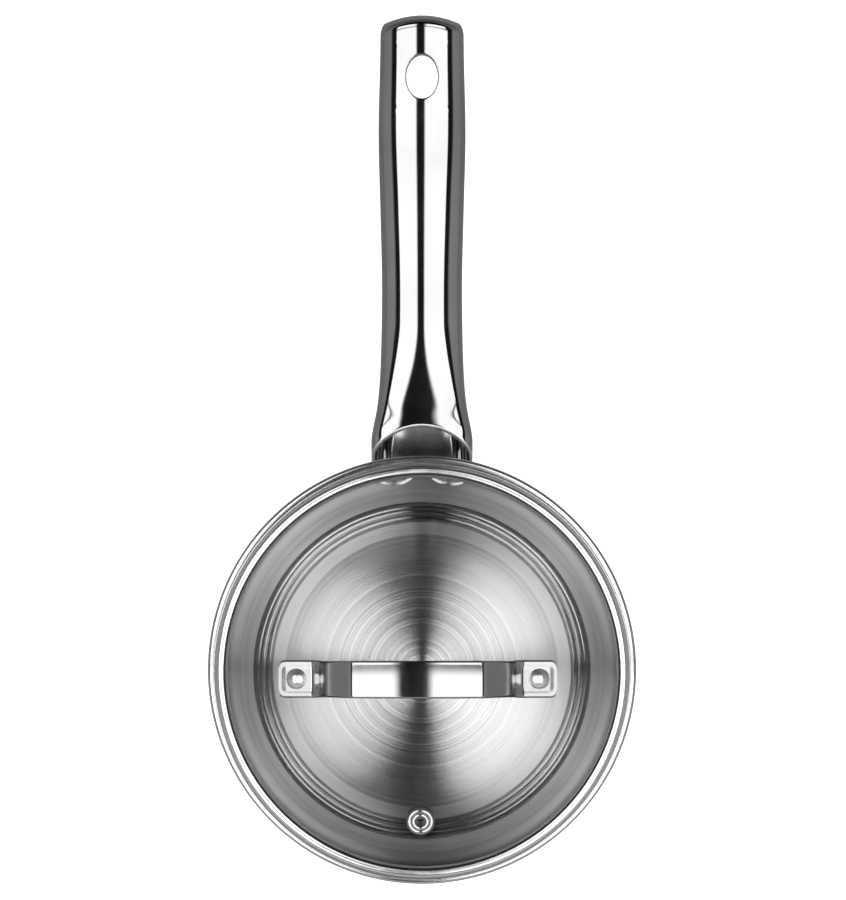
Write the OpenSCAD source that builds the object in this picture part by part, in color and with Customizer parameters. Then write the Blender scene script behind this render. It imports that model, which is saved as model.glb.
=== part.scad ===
// Saucepan with a riveted hollow handle and a loose domed glass lid.
// Origin: centre of the base's underside. +Z up, long handle along +Y, lid strap along X.

/* [Pan] */
// Inside diameter of the straight wall
pan_inner_d = 160; // [150:1:170]
// Inside depth from the floor to the top of the lip
pan_depth = 76; // [70:1:90]
// Thickness of the pan's sheet
pan_wall = 0.8; // [0.7:0.1:1.2]
// Inside radius between the floor and the wall
corner_r = 13; // [10:1:16]
// Radius of the flare below the lip
flare_r = 3.5; // [3:0.5:4.5]
// Radius of the rolled edge of the lip
roll_r = 1.6; // [1.4:0.1:1.8]
// Width of the level land between the flare and the rolled edge
lip_land = 0.8; // [0.4:0.1:1.2]

/* [Base] */
// Thickness of the steel cap under the base
cap_t = 0.6; // [0.5:0.1:1]
// Thickness of the aluminium heat spreader
core_t = 4; // [3:0.5:5]
// Radius of the heat spreader
core_r = 66; // [60:0.5:66]
// Depth of the pressed rings under the base
ring_depth = 0.25; // [0.1:0.05:0.3]

/* [Long handle] */
// Depth of the handle's root centre below the lip
root_drop = 20.5; // [19:0.5:24]
// Slope of the handle where it leaves the wall, in degrees
slope_root = 12; // [8:1:16]
// Slope of the straight part of the handle, in degrees
slope_grip = 21; // [18:1:23]
// Length of the bend between the two slopes
bend_len = 45; // [35:1:55]
// Length of the handle along its path
handle_len = 172.5; // [160:0.5:180]
// Thickness of the handle's sheet
shell_t = 1.2; // [1:0.1:1.5]
// Distance of the hanging hole's centre from the tip
hole_from_tip = 21.4; // [20:0.1:28]
// Length of the hanging hole
hole_l = 15.2; // [13:0.1:16]
// Width of the hanging hole
hole_w = 12; // [10:0.1:13]

/* [Bracket] */
// Thickness of the bracket's plate
plate_t = 2; // [1.5:0.1:2.5]
// Height of the bracket's plate
plate_h = 20; // [18:0.5:20]
// Distance between the two handle rivets
rivet_pitch = 21.8; // [20:0.2:24]
// Radius of the handle rivets' shanks
rivet_r = 3; // [2.5:0.1:3.5]
// Diameter of the handle rivets' domed heads
rivet_head_d = 15; // [13:0.5:16]

/* [Lid] */
// Thickness of the lid's glass
glass_t = 4; // [3.5:0.1:5]
// Rise of the glass dome above its flat brim
dome_rise = 12; // [9:0.5:15]
// Gap between the lid's flange and the lip
seat_gap = 0.25; // [0.2:0.05:0.4]
// How far the lid sits towards the vent side in its seat
lid_shift_y = -0.8; // [-0.8:0.1:0]
// Thickness of the steel band round the glass
band_t = 0.6; // [0.5:0.1:0.7]

/* [Lid strap] */
// Distance between the two strap rivets
strap_pitch = 94.4; // [90:0.2:98]
// Sideways place of the strap's middle
strap_x = -1.7; // [-2:0.1:0]
// Place of the strap's middle towards the vent
strap_y = -2.9; // [-3:0.1:0]
// Height of the arch above its two pads
arch_h = 24; // [20:1:30]
// Width of the arch
arch_w = 14.2; // [12:0.1:16]
// Width of the two pads
pad_w = 14.8; // [13:0.1:16]
// Thickness of the strap's sheet
strap_t = 1.2; // [1:0.1:1.5]
// Diameter of the strap rivets' domed heads
strap_head_d = 8.1; // [7:0.1:9]

/* [Vent] */
// Distance of the vent from the lid's middle
vent_dist = 58.8; // [55:0.1:62]
// Radius of the vent's steam hole
vent_r = 2; // [1.5:0.1:2.2]
// Radius of the eyelet's upper flange
eyelet_flange_r = 5.2; // [4.8:0.1:5.4]

/* [Hidden] */
$fn = 96;
tiny = 0.01;

// Heights and radii of the pan
pan_r = pan_inner_d / 2;
wall_r = pan_r + pan_wall;
floor_z = cap_t + core_t + pan_wall;
rim_z = floor_z + pan_depth;
flat_r = pan_r - corner_r;
roll_x = pan_r + flare_r + lip_land;
lip_r = roll_x + roll_r;
cap_r = core_r + cap_t;

// Points on an arc in a 2D outline
function arc(cx, cy, r, a0, a1, n = 8) =
  [for (i = [0:n]) [cx + r * cos(a0 + (a1 - a0) * i / n), cy + r * sin(a0 + (a1 - a0) * i / n)]];

// The handle's path in the YZ plane: a bend from one slope to the next, then straight
wall_gap = 0.05;
path_y0 = wall_r + plate_t + wall_gap;
path_z0 = rim_z - root_drop;
bend_r = bend_len / ((slope_grip - slope_root) * PI / 180);
function bend_slope(s) = slope_root + (slope_grip - slope_root) * min(s, bend_len) / bend_len;
function path_y(s) =
  path_y0 + bend_r * (sin(bend_slope(s)) - sin(slope_root)) + max(s - bend_len, 0) * cos(slope_grip);
function path_z(s) =
  path_z0 + bend_r * (cos(slope_root) - cos(bend_slope(s))) + max(s - bend_len, 0) * sin(slope_grip);

// Half widths and half thicknesses of the handle at distances along its path, blended smoothly
half_widths = [[0, 20.6], [8, 20.7], [24, 18.4], [38, 17.1], [54, 16.4], [76, 16.0],
  [104, 16.4], [130, 16.8], [156, 16.0], [172, 15.7], [190, 15.6]];
half_depths = [[0, 11.5], [24, 10.4], [60, 9.3], [120, 9], [172, 8.2], [190, 8]];
function knot_slope(p, i) =
  (p[min(i + 1, len(p) - 1)][1] - p[max(i - 1, 0)][1]) / (p[min(i + 1, len(p) - 1)][0] - p[max(i - 1, 0)][0]);
function seg(p, s, i = 0) = (i >= len(p) - 2 || s < p[i + 1][0]) ? i : seg(p, s, i + 1);
function cubic(y0, m0, y1, m1, u) =
  (2 * u ^ 3 - 3 * u ^ 2 + 1) * y0 + (u ^ 3 - 2 * u ^ 2 + u) * m0
  + (3 * u ^ 2 - 2 * u ^ 3) * y1 + (u ^ 3 - u ^ 2) * m1;
function blend_at(p, s, i) =
  let (w = p[i + 1][0] - p[i][0], u = (s - p[i][0]) / w)
  cubic(p[i][1], knot_slope(p, i) * w, p[i + 1][1], knot_slope(p, i + 1) * w, u);
function blended(p, s) = blend_at(p, s, seg(p, s));
function smooth(u) = let (v = min(max(u, 0), 1)) v * v * (3 - 2 * v);

// The rounded end: the last few millimetres close down to a line on the parting plane
end_len = 4;
end_corner = 2;
tip_curve_r = 35;
tip_blend = 25;

// The mouth at the root: the top edge is scooped back and bevelled, the cheeks run on to the wall
scoop_side = 9;
scoop_top = 20;
scoop_curve = 0.575;
cheek_h = 0.45;
bevel = 1;
root_reach = 50;

// The section is an ellipse at the grip and squarer towards the root
root_square = 2.8;
square_len = 60;

// A point of the half section: t along the path from 0 to 1, a round it from 0 to 180 degrees,
// inset by g, on the upper (side 1) or the lower (side -1) shell
stations = 26;
rounds = 22;
body_part = 0.88;
function along(t) =
  t < body_part
  ? [(handle_len - end_len) * t / body_part, 0]
  : [handle_len - end_len, 90 * (t - body_part) / (1 - body_part)];
function shell_point(t, a, g, side) =
  let (
    p = along(t),
    s = p[0] + (end_len - g) * sin(p[1]),
    w = blended(half_widths, p[0]) - g - end_corner * (1 - cos(p[1])),
    d = (blended(half_depths, p[0]) - g) * cos(p[1]),
    n = 2 + root_square * smooth(1 - p[0] / square_len),
    out = (abs(cos(a)) ^ n + abs(sin(a)) ^ n) ^ (-1 / n),
    u = out * cos(a),
    v = out * sin(a),
    x = w * u,
    z = side * d * v,
    tip_bow = smooth((s - handle_len + tip_blend) / tip_blend) * x * x / (2 * tip_curve_r),
    wall_bow = wall_r + plate_t + wall_gap - sqrt((wall_r + plate_t + wall_gap) ^ 2 - x * x),
    cheek = (scoop_side - bevel * g / shell_t) * smooth(v / cheek_h),
    scoop = side < 0 ? 0 : cheek + (scoop_top - scoop_side) * max(1 - u * u, 0) ^ scoop_curve,
    root = smooth(1 - p[0] / root_reach) * (1 - p[0] / root_reach) * (scoop - wall_bow),
    q = s - tip_bow + root,
    k = bend_slope(q)
  )
  [x, path_y(q) - z * sin(k), path_z(q) + z * cos(k)];

// A closed shell between an outer sheet and a sheet inset by its thickness
module half_shell(side) {
  rows = stations;
  cols = rounds;
  per = (rows + 1) * (cols + 1);
  points = [for (g = [0, shell_t], i = [0:rows], j = [0:cols]) shell_point(i / rows, 180 * j / cols, g, side)];
  function at(layer, i, j) = layer * per + i * (cols + 1) + j;
  faces = concat(
    [for (i = [0:rows - 1], j = [0:cols - 1]) [at(0, i, j), at(0, i + 1, j), at(0, i + 1, j + 1), at(0, i, j + 1)]],
    [for (i = [0:rows - 1], j = [0:cols - 1]) [at(1, i, j), at(1, i, j + 1), at(1, i + 1, j + 1), at(1, i + 1, j)]],
    [for (j = [0:cols - 1]) [at(0, 0, j), at(0, 0, j + 1), at(1, 0, j + 1), at(1, 0, j)]],
    [for (j = [0:cols - 1]) [at(0, rows, j), at(1, rows, j), at(1, rows, j + 1), at(0, rows, j + 1)]],
    [for (i = [0:rows - 1]) [at(0, i, 0), at(1, i, 0), at(1, i + 1, 0), at(0, i + 1, 0)]],
    [for (i = [0:rows - 1]) [at(0, i, cols), at(0, i + 1, cols), at(1, i + 1, cols), at(1, i, cols)]]
  );
  facing = [for (f = faces) side > 0 ? [f[3], f[2], f[1], f[0]] : [f[1], f[2], f[3], f[0]]];
  polyhedron(points, facing, convexity = 6);
}

// Places its children at the hanging hole's centre, with Z across the handle
sleeve_t = 0.8;
module at_hang_hole() {
  s = handle_len - hole_from_tip;
  translate([0, path_y(s), path_z(s)])
    rotate([slope_grip, 0, 0])
      children();
}

// An upright oval bar, long along Y
module oval_bar(w, l, h) {
  sides = 36;
  oval = [for (i = [0:sides - 1]) let (a = 360 * (i + 0.5) / sides) [w / 2 * cos(a), l / 2 * sin(a)]];
  linear_extrude(height = h, center = true)
    polygon(oval);
}

// The lid: heights of its seat, glass and dome
seat_z = rim_z + seat_gap;
glass_z = seat_z + band_t;
brim_r = pan_r - 3;
glass_r = pan_r + 1;
dome_r = (brim_r ^ 2 + dome_rise ^ 2) / (2 * dome_rise);
dome_z = glass_z + glass_t + dome_rise - dome_r;
under_r = dome_r - glass_t;

// Places its children on the dome's outside at x, y from the lid's middle, square to the glass
module on_dome(x, y) {
  lean = asin(sqrt(x * x + y * y) / dome_r);
  translate([0, lid_shift_y, dome_z])
    rotate([0, lean, atan2(y, x)])
      translate([0, 0, dome_r])
        children();
}

// The strap is turned about the dome's centre to its place, so that both pads stay square to the glass
module in_strap_frame() {
  translate([0, lid_shift_y, dome_z])
    rotate([asin(-strap_y / dome_r), asin(strap_x / dome_r), 0])
      children();
}

pad_x = strap_pitch / 2;
pad_lean = asin(pad_x / dome_r);
module at_strap_rivets() {
  in_strap_frame()
    for (side = [-1, 1])
      rotate([0, side * pad_lean, 0])
        translate([0, 0, dome_r])
          children();
}

module at_vent() {
  on_dome(-0.6, -vent_dist)
    children();
}

// Fasteners: a domed head of diameter d and height h standing on the plane z = 0
module dome_head(d, h) {
  ball_r = (d * d / 4 + h * h) / (2 * h);
  rotate_extrude()
    polygon(concat([[0, 0]], arc(0, h - ball_r, ball_r, 90 - asin(d / 2 / ball_r), 90, 8)));
}

module ring(r_out, r_in, z0, z1) {
  translate([0, 0, z0])
    difference() {
      cylinder(h = z1 - z0, r = r_out);
      translate([0, 0, -1])
        cylinder(h = z1 - z0 + 2, r = r_in);
    }
}

// Places its children on a handle rivet's axis, with Z pointing out of the pan, at the pan's axis
rivet_turn = asin(rivet_pitch / 2 / wall_r);
rivet_z = rim_z - root_drop;
module at_handle_rivets() {
  for (side = [-1, 1])
    translate([0, 0, rivet_z])
      rotate([0, 0, -side * rivet_turn])
        rotate([-90, 0, 0])
          children();
}

// ---- Pan ----

module pan_vessel() {
  inside = concat(
    [[0, floor_z]],
    arc(flat_r, floor_z + corner_r, corner_r, -90, 0, 12),
    arc(pan_r + flare_r, rim_z - flare_r, flare_r, 180, 90, 6),
    arc(roll_x, rim_z - roll_r, roll_r, 90, -60, 8)
  );
  outside = concat(
    arc(roll_x, rim_z - roll_r, roll_r - pan_wall, -60, 90, 6),
    arc(pan_r + flare_r, rim_z - flare_r, flare_r - pan_wall, 90, 180, 6),
    arc(flat_r, floor_z + corner_r, corner_r + pan_wall, 0, -90, 12),
    [[0, floor_z - pan_wall]]
  );
  color([0.8, 0.8, 0.81])
    difference() {
      rotate_extrude()
        polygon(concat(inside, outside));
      at_handle_rivets()
        translate([0, 0, pan_r - 5])
          cylinder(h = 10, r = rivet_r);
    }
}

module base_core() {
  color([0.7, 0.71, 0.72])
    translate([0, 0, cap_t])
      cylinder(h = core_t, r = core_r);
}

// A shallow steel dish whose edge turns up round the heat spreader, with pressed rings beneath
module base_cap() {
  ring_w = 1.6;
  color([0.78, 0.78, 0.79])
    difference() {
      rotate_extrude()
        polygon(concat(
          [[0, 0]],
          arc(cap_r - cap_t, cap_t, cap_t, -90, 0, 6),
          [[cap_r, cap_t + core_t], [core_r, cap_t + core_t], [core_r, cap_t], [0, cap_t]]
        ));
      for (r = [24:10:54])
        ring(r + ring_w / 2, r - ring_w / 2, -1, ring_depth);
    }
}

// ---- Long handle ----

// A curved plate against the wall, with a tongue low in the hollow handle that ends in a welded foot
module handle_bracket() {
  plate_turn = 12.2;
  tongue_w = 22;
  tongue_len = 33;
  tongue_t = 2;
  tongue_slope = 17.4;
  foot_w = 10;
  foot_l = 3;
  foot_h = 1.4;
  color([0.55, 0.55, 0.57])
    difference() {
      union() {
        translate([0, 0, rivet_z - plate_h / 2])
          rotate([0, 0, 90 - plate_turn])
            rotate_extrude(angle = 2 * plate_turn)
              translate([wall_r, 0])
                square([plate_t, plate_h]);
        translate([0, wall_r + plate_t - 1, rivet_z - plate_h / 2])
          rotate([tongue_slope, 0, 0]) {
            translate([-tongue_w / 2, 0, 0])
              cube([tongue_w, tongue_len, tongue_t]);
            translate([-foot_w / 2, tongue_len - foot_l, -foot_h])
              cube([foot_w, foot_l, foot_h + tongue_t]);
          }
      }
      cylinder(h = rim_z, r = wall_r);
      at_handle_rivets()
        translate([0, 0, pan_r])
          cylinder(h = 10, r = rivet_r);
    }
}

// Round heads inside the pan, shanks through the wall and plate, and upset ends on the plate
module handle_rivets() {
  head_h = 2.6;
  end_r = 4.6;
  end_h = 1.6;
  head_seat = sqrt(pan_r ^ 2 - rivet_head_d ^ 2 / 4);
  color([0.82, 0.82, 0.83])
    at_handle_rivets() {
      translate([0, 0, head_seat])
        rotate([180, 0, 0])
          dome_head(rivet_head_d, head_h);
      translate([0, 0, head_seat])
        cylinder(h = wall_r + plate_t - head_seat, r = rivet_r);
      translate([0, 0, wall_r + plate_t])
        dome_head(2 * end_r, end_h);
    }
}

module hole_cut() {
  at_hang_hole()
    oval_bar(hole_w + 2 * sleeve_t, hole_l + 2 * sleeve_t, 60);
}

module handle_upper_shell() {
  color([0.8, 0.8, 0.81])
    difference() {
      half_shell(1);
      hole_cut();
    }
}

module handle_lower_shell() {
  color([0.76, 0.76, 0.77])
    difference() {
      half_shell(-1);
      hole_cut();
    }
}

// An oval tube welded through both shells
module hang_hole_sleeve() {
  color([0.74, 0.74, 0.75])
    at_hang_hole()
      difference() {
        oval_bar(hole_w + 2 * sleeve_t, hole_l + 2 * sleeve_t, 15.4);
        oval_bar(hole_w, hole_l, 40);
      }
}

// ---- Lid ----

module lid_glass() {
  start = asin(brim_r / dome_r);
  under_start = asin(sqrt(under_r ^ 2 - (glass_z - dome_z) ^ 2) / under_r);
  rivet_hole_r = 3.4;
  vent_hole_r = 3.6;
  color([0.85, 0.9, 0.9, 0.35])
    difference() {
      translate([0, lid_shift_y, 0])
        rotate_extrude()
          polygon(concat(
            arc(0, dome_z, dome_r, 90, 90 - start, 14),
            [[glass_r, glass_z + glass_t], [glass_r, glass_z]],
            arc(0, dome_z, under_r, 90 - under_start, 90, 14)
          ));
      at_strap_rivets()
        cylinder(h = 20, r = rivet_hole_r, center = true);
      at_vent()
        cylinder(h = 20, r = vent_hole_r, center = true);
    }
}

// A rolled steel band: a channel round the glass, a flange on the lip, and a skirt inside the wall
module lid_rim_band() {
  bead_r = 2.2;
  bead_x = pan_r - 0.15;
  bead_lift = 1;
  flange_r = pan_r + 3.5;
  skirt_out = pan_r - 1.3;
  skirt_h = 4.5;
  glass_top = glass_z + glass_t;
  bead_z = glass_top + bead_lift - bead_r;
  bead_end = 180 - asin((glass_top - bead_z) / bead_r);
  color([0.82, 0.82, 0.83])
    translate([0, lid_shift_y, 0])
      rotate_extrude()
        polygon(concat(
          [[skirt_out, seat_z - skirt_h], [skirt_out, seat_z]],
          arc(flange_r - band_t / 2, seat_z + band_t / 2, band_t / 2, -90, 90, 6),
          [[bead_x + bead_r, seat_z + band_t]],
          arc(bead_x, bead_z, bead_r, 0, bead_end, 10),
          [[glass_r, glass_top], [glass_r, glass_z]],
          [[skirt_out - band_t, glass_z], [skirt_out - band_t, seat_z - skirt_h]]
        ));
}

// The strap's side view, with its height from the dome's centre:
// a pad at each end square to the glass, a step, a slope and a domed top
pad_lift = 1;
pad_reach = 7.3;
step_x = 41;
step_w = 2.6;
step_h = 2.4;
arch_half = 25.2;
arch_rise = 2.5;
arch_r = (arch_half ^ 2 + arch_rise ^ 2) / (2 * arch_rise);
function pad_line(x) = (dome_r + pad_lift + strap_t - x * sin(pad_lean)) / cos(pad_lean);
arch_z = pad_line(pad_x) + arch_h;
strap_side = concat(
  [[pad_x + pad_reach, pad_line(pad_x + pad_reach)], [step_x, pad_line(step_x)]],
  [[step_x - step_w, pad_line(step_x) + step_h], [arch_half + 1.6, arch_z - arch_rise - 2]],
  arc(0, arch_z - arch_r, arch_r, 90 - asin(arch_half / arch_r), 90, 8)
);
strap_outer = concat(strap_side, [for (i = [len(strap_side) - 2:-1:0]) [-strap_side[i][0], strap_side[i][1]]]);

// A line moved sideways by g, towards its left
function unit(v) = v / norm(v);
function left_of(v) = [-v[1], v[0]];
function moved_in(p, g) = [for (i = [0:len(p) - 1])
  let (
    a = max(i, 1),
    b = min(i, len(p) - 2),
    n0 = left_of(unit(p[a] - p[a - 1])),
    n1 = left_of(unit(p[b + 1] - p[b]))
  )
  p[i] + g * (n0 + n1) / (1 + n0 * n1)];

module strap_layer(depth, width) {
  inner = moved_in(strap_outer, depth);
  rotate([90, 0, 0])
    linear_extrude(height = width, center = true)
      polygon(concat(strap_outer, [for (i = [len(inner) - 1:-1:0]) inner[i]]));
}

module lid_handle() {
  flange_h = 3.4;
  flange_t = 1;
  bore_r = 2.2;
  color([0.82, 0.82, 0.83])
    difference() {
      in_strap_frame()
        union() {
          strap_layer(strap_t, pad_w);
          for (side = [-1, 1])
            intersection() {
              translate([0, side * (arch_w - flange_t) / 2, 0])
                strap_layer(flange_h, flange_t);
              translate([0, 0, arch_z])
                cube([2 * (step_x - step_w), 40, 2 * arch_h + 2], center = true);
            }
        }
      at_strap_rivets()
        cylinder(h = 20, r = bore_r, center = true);
    }
}

// Domed heads on the pads, shanks through the glass, and upset ends under the backing washers
seal_t = 1;
backing_t = 0.8;
shank_bottom = glass_t + seal_t + backing_t;
module lid_handle_rivets() {
  shank_r = 2.2;
  head_h = 2.1;
  end_r = 3.4;
  end_h = 1.3;
  color([0.85, 0.85, 0.86])
    at_strap_rivets() {
      translate([0, 0, pad_lift + strap_t])
        dome_head(strap_head_d, head_h);
      translate([0, 0, -shank_bottom])
        cylinder(h = shank_bottom + pad_lift + strap_t, r = shank_r);
      translate([0, 0, -shank_bottom])
        rotate([180, 0, 0])
          dome_head(2 * end_r, end_h);
    }
}

// Soft pads between the strap and the glass, each with a neck that lines the glass's hole
module lid_handle_gaskets() {
  pad_len = 13;
  neck_r = 3.4;
  bore_r = 2.2;
  color([0.16, 0.16, 0.17])
    at_strap_rivets()
      difference() {
        union() {
          translate([-pad_len / 2, -pad_w / 2 + 0.4, 0])
            cube([pad_len, pad_w - 0.8, pad_lift]);
          translate([0, 0, -glass_t + 0.6])
            cylinder(h = glass_t, r = neck_r);
        }
        cylinder(h = 20, r = bore_r, center = true);
      }
}

module lid_seal_washers() {
  color([0.2, 0.2, 0.21])
    at_strap_rivets()
      ring(7, 2.2, -glass_t - seal_t, -glass_t - 0.1);
}

module lid_backing_washers() {
  color([0.75, 0.75, 0.76])
    at_strap_rivets()
      ring(6.2, 2.2, -shank_bottom, -glass_t - seal_t);
}

// ---- Vent ----

// A flanged tube through the glass, rolled over below it
module vent_eyelet() {
  tube_r = 3;
  flange_t = 0.5;
  under_t = 0.5;
  roll = 4.4;
  gasket_t = 0.8;
  top = gasket_t + flange_t;
  low = -glass_t - gasket_t - under_t;
  color([0.82, 0.82, 0.83])
    at_vent()
      rotate_extrude()
        polygon(concat(
          arc(vent_r + 0.9, top - 0.4, 0.9, 180, 90, 5),
          arc(eyelet_flange_r - 0.25, gasket_t + 0.25, 0.25, 90, -90, 4),
          [[tube_r, gasket_t], [tube_r, low + under_t]],
          arc(roll - 0.25, low + 0.25, 0.25, 90, -90, 4),
          [[vent_r, low]]
        ));
}

module vent_gasket() {
  neck_r = 3.6;
  color([0.2, 0.2, 0.21])
    at_vent() {
      ring(5.7, 3, 0, 0.8);
      ring(neck_r, 3, -glass_t + 0.6, tiny);
    }
}

module vent_washer() {
  color([0.2, 0.2, 0.21])
    at_vent()
      ring(5.4, 3, -glass_t - 0.8, -glass_t - 0.12);
}

pan_vessel();
base_core();
base_cap();
handle_bracket();
handle_rivets();
handle_upper_shell();
handle_lower_shell();
hang_hole_sleeve();
lid_glass();
lid_rim_band();
lid_handle();
lid_handle_rivets();
lid_handle_gaskets();
lid_seal_washers();
lid_backing_washers();
vent_eyelet();
vent_gasket();
vent_washer();
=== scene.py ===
"""Looks for a saucepan with a hollow riveted handle and a loose glass lid.

Pieces are meshed in millimetres in the row frame, and written in metres.
"""

import math

import bmesh
import bpy
import numpy as np
from mathutils import Matrix, Vector


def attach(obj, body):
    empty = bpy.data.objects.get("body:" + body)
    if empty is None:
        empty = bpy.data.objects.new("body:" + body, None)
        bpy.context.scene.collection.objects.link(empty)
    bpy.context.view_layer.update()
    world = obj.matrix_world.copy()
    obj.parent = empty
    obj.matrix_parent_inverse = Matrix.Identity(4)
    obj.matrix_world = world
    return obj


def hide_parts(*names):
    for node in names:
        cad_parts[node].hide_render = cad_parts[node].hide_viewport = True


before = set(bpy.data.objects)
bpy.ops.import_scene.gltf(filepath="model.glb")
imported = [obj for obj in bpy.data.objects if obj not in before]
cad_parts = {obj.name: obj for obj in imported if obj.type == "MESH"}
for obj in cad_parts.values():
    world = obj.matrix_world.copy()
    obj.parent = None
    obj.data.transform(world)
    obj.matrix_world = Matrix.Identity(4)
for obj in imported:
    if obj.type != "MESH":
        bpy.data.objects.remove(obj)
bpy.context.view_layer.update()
MM = 0.001

# ---- Sizes, in millimetres ----

# Pan
PAN_R = 80.0
WALL = 0.8
FLOOR_Z = 5.4
RIM_Z = 81.4
CORNER_R = 13.0
FLARE_R = 3.5
ROLL_R = 1.6
LIP_LAND = 0.8
WALL_R = PAN_R + WALL
ROLL_X = PAN_R + FLARE_R + LIP_LAND
BRUSHED_R = 61.5
FLOOR_CROWN = 1.4
STEP_R = 75.6

# Base
CAP_T = 0.6
CORE_T = 4.0
CORE_R = 66.0

# Long handle
PLATE_T = 2.0
ROOT_GAP = 0.05
ROOT_R = WALL_R + PLATE_T + ROOT_GAP
ROOT_Z = RIM_Z - 20.5
SLOPE_ROOT = math.radians(12)
SLOPE_GRIP = math.radians(21)
BEND_LEN = 45.0
BEND_R = BEND_LEN / (SLOPE_GRIP - SLOPE_ROOT)
HANDLE_LEN = 172.5
SHELL_T = 1.2
END_LEN = 4.0
END_CORNER = 2.0
TIP_CURVE_R = 35.0
TIP_BLEND = 25.0
SCOOP_SIDE = 9.0
SCOOP_TOP = 20.0
SCOOP_CURVE = 0.575
CHEEK_H = 0.45
BEVEL = 1.5
ROOT_REACH = 50.0
ROOT_SQUARE = 2.8
SQUARE_LEN = 60.0
HALF_WIDTHS = ((0, 20.6), (8, 20.7), (24, 18.4), (38, 17.1), (54, 16.4), (76, 16.0),
               (104, 16.4), (130, 16.8), (156, 16.0), (172, 15.7), (190, 15.6))
HALF_DEPTHS = ((0, 11.5), (24, 10.4), (60, 9.3), (120, 9.0), (172, 8.2), (190, 8.0))
HOLE_S = HANDLE_LEN - 21.4
HOLE_W = 12.0
HOLE_L = 15.2
SLEEVE_T = 0.8

# Handle rivets
RIVET_PITCH = 21.8
RIVET_HEAD_R = 7.5
RIVET_HEAD_H = 2.6
RIVET_SHANK_R = 3.0

# Lid
LID_Y = -0.8
SEAT_Z = RIM_Z + 0.25
BAND_T = 0.6
GLASS_Z = SEAT_Z + BAND_T
GLASS_T = 4.0
GLASS_R = PAN_R + 1
BRIM_R = PAN_R - 3
DOME_RISE = 12.0
DOME_R = (BRIM_R ** 2 + DOME_RISE ** 2) / (2 * DOME_RISE)
DOME_Z = GLASS_Z + GLASS_T + DOME_RISE - DOME_R
UNDER_R = DOME_R - GLASS_T

# Lid strap
STRAP_PITCH = 94.4
STRAP_X = -1.7
STRAP_Y = -2.9
STRAP_T = 1.2
PAD_LIFT = 1.0
PAD_X = STRAP_PITCH / 2
PAD_LEAN = math.asin(PAD_X / DOME_R)
ARCH_H = 24.0
HEAD_R = 4.05
HEAD_H = 2.1

# Vent
VENT_X = -0.6
VENT_Y = -58.8
VENT_R = 2.0


# ---- Mesh helpers ----

def arc(cx, cz, r, start, end, n):
    """Points on an arc from start to end degrees, both included."""
    return [(cx + r * math.cos(math.radians(start + (end - start) * i / n)),
             cz + r * math.sin(math.radians(start + (end - start) * i / n))) for i in range(n + 1)]


def smooth(u):
    """An even step from 0 to 1."""
    v = np.clip(u, 0, 1)
    return v * v * (3 - 2 * v)


def finish_mesh(name, points, faces, zones, materials, sharp=35):
    """A closed mesh with outward faces, smooth apart from edges over the sharp angle."""
    mesh = bpy.data.meshes.new(name)
    mesh.from_pydata([tuple(float(c) * MM for c in p) for p in points], [], faces)
    mesh.polygons.foreach_set("material_index", zones if zones is not None else [0] * len(faces))
    for m in materials:
        mesh.materials.append(m)
    work = bmesh.new()
    work.from_mesh(mesh)
    bmesh.ops.remove_doubles(work, verts=work.verts, dist=1e-7)
    bmesh.ops.recalc_face_normals(work, faces=work.faces)
    work.to_mesh(mesh)
    work.free()
    mesh.polygons.foreach_set("use_smooth", [True] * len(mesh.polygons))
    mesh.set_sharp_from_angle(angle=math.radians(sharp))
    obj = bpy.data.objects.new(name, mesh)
    bpy.context.scene.collection.objects.link(obj)
    return obj


def settle(obj, body, nodes):
    """Puts a piece on its body in place of its CAD nodes."""
    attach(obj, body)
    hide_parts(*nodes)
    return obj


def lathe(outline, zones, segments, place=Matrix.Identity(4)):
    """Turns a closed outline of (radius, height) round the placed Z axis."""
    rows, points, faces, marks = [], [], [], []
    turn = [2 * math.pi * k / segments for k in range(segments)]
    for r, z in outline:
        if r < 1e-6:
            rows.append([len(points)] * segments)
            points.append(place @ Vector((0, 0, z)))
        else:
            rows.append(list(range(len(points), len(points) + segments)))
            points += [place @ Vector((r * math.cos(t), r * math.sin(t), z)) for t in turn]
    for i, row in enumerate(rows):
        after = rows[(i + 1) % len(rows)]
        for k in range(segments):
            n = (k + 1) % segments
            loop = []
            for v in (row[k], row[n], after[n], after[k]):
                if v not in loop:
                    loop.append(v)
            if len(loop) > 2:
                faces.append(loop)
                marks.append(zones[i] if zones else 0)
    return points, faces, marks


def zoned(parts):
    """An outline and its zones, from stretches of (zone, points)."""
    return [p for _, points in parts for p in points], [zone for zone, points in parts for _ in points]


def joined(*parts):
    """Several (points, faces, zones) as one."""
    points, faces, marks = [], [], []
    for p, f, m in parts:
        base = len(points)
        points += list(p)
        faces += [[v + base for v in loop] for loop in f]
        marks += list(m)
    return points, faces, marks


def turned(axis, degrees):
    return Matrix.Rotation(math.radians(degrees), 4, axis)


def moved(x, y, z):
    return Matrix.Translation((x, y, z))


def pad_frames():
    """Places on the glass under the two ends of the strap, square to the dome."""
    return [strap_frame() @ turned("Y", side * math.degrees(PAD_LEAN)) @ moved(0, 0, DOME_R)
            for side in (-1, 1)]


def strap_frame():
    """The dome's centre, turned so that Z goes through the strap's middle."""
    lean_x = math.degrees(math.asin(-STRAP_Y / DOME_R))
    lean_y = math.degrees(math.asin(STRAP_X / DOME_R))
    return moved(0, LID_Y, DOME_Z) @ turned("Y", lean_y) @ turned("X", lean_x)


def vent_frame():
    """A place on the glass at the vent, square to the dome."""
    lean = math.degrees(math.asin(math.hypot(VENT_X, VENT_Y) / DOME_R))
    turn = math.degrees(math.atan2(VENT_Y, VENT_X))
    return moved(0, LID_Y, DOME_Z) @ turned("Z", turn) @ turned("Y", lean) @ moved(0, 0, DOME_R)


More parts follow.
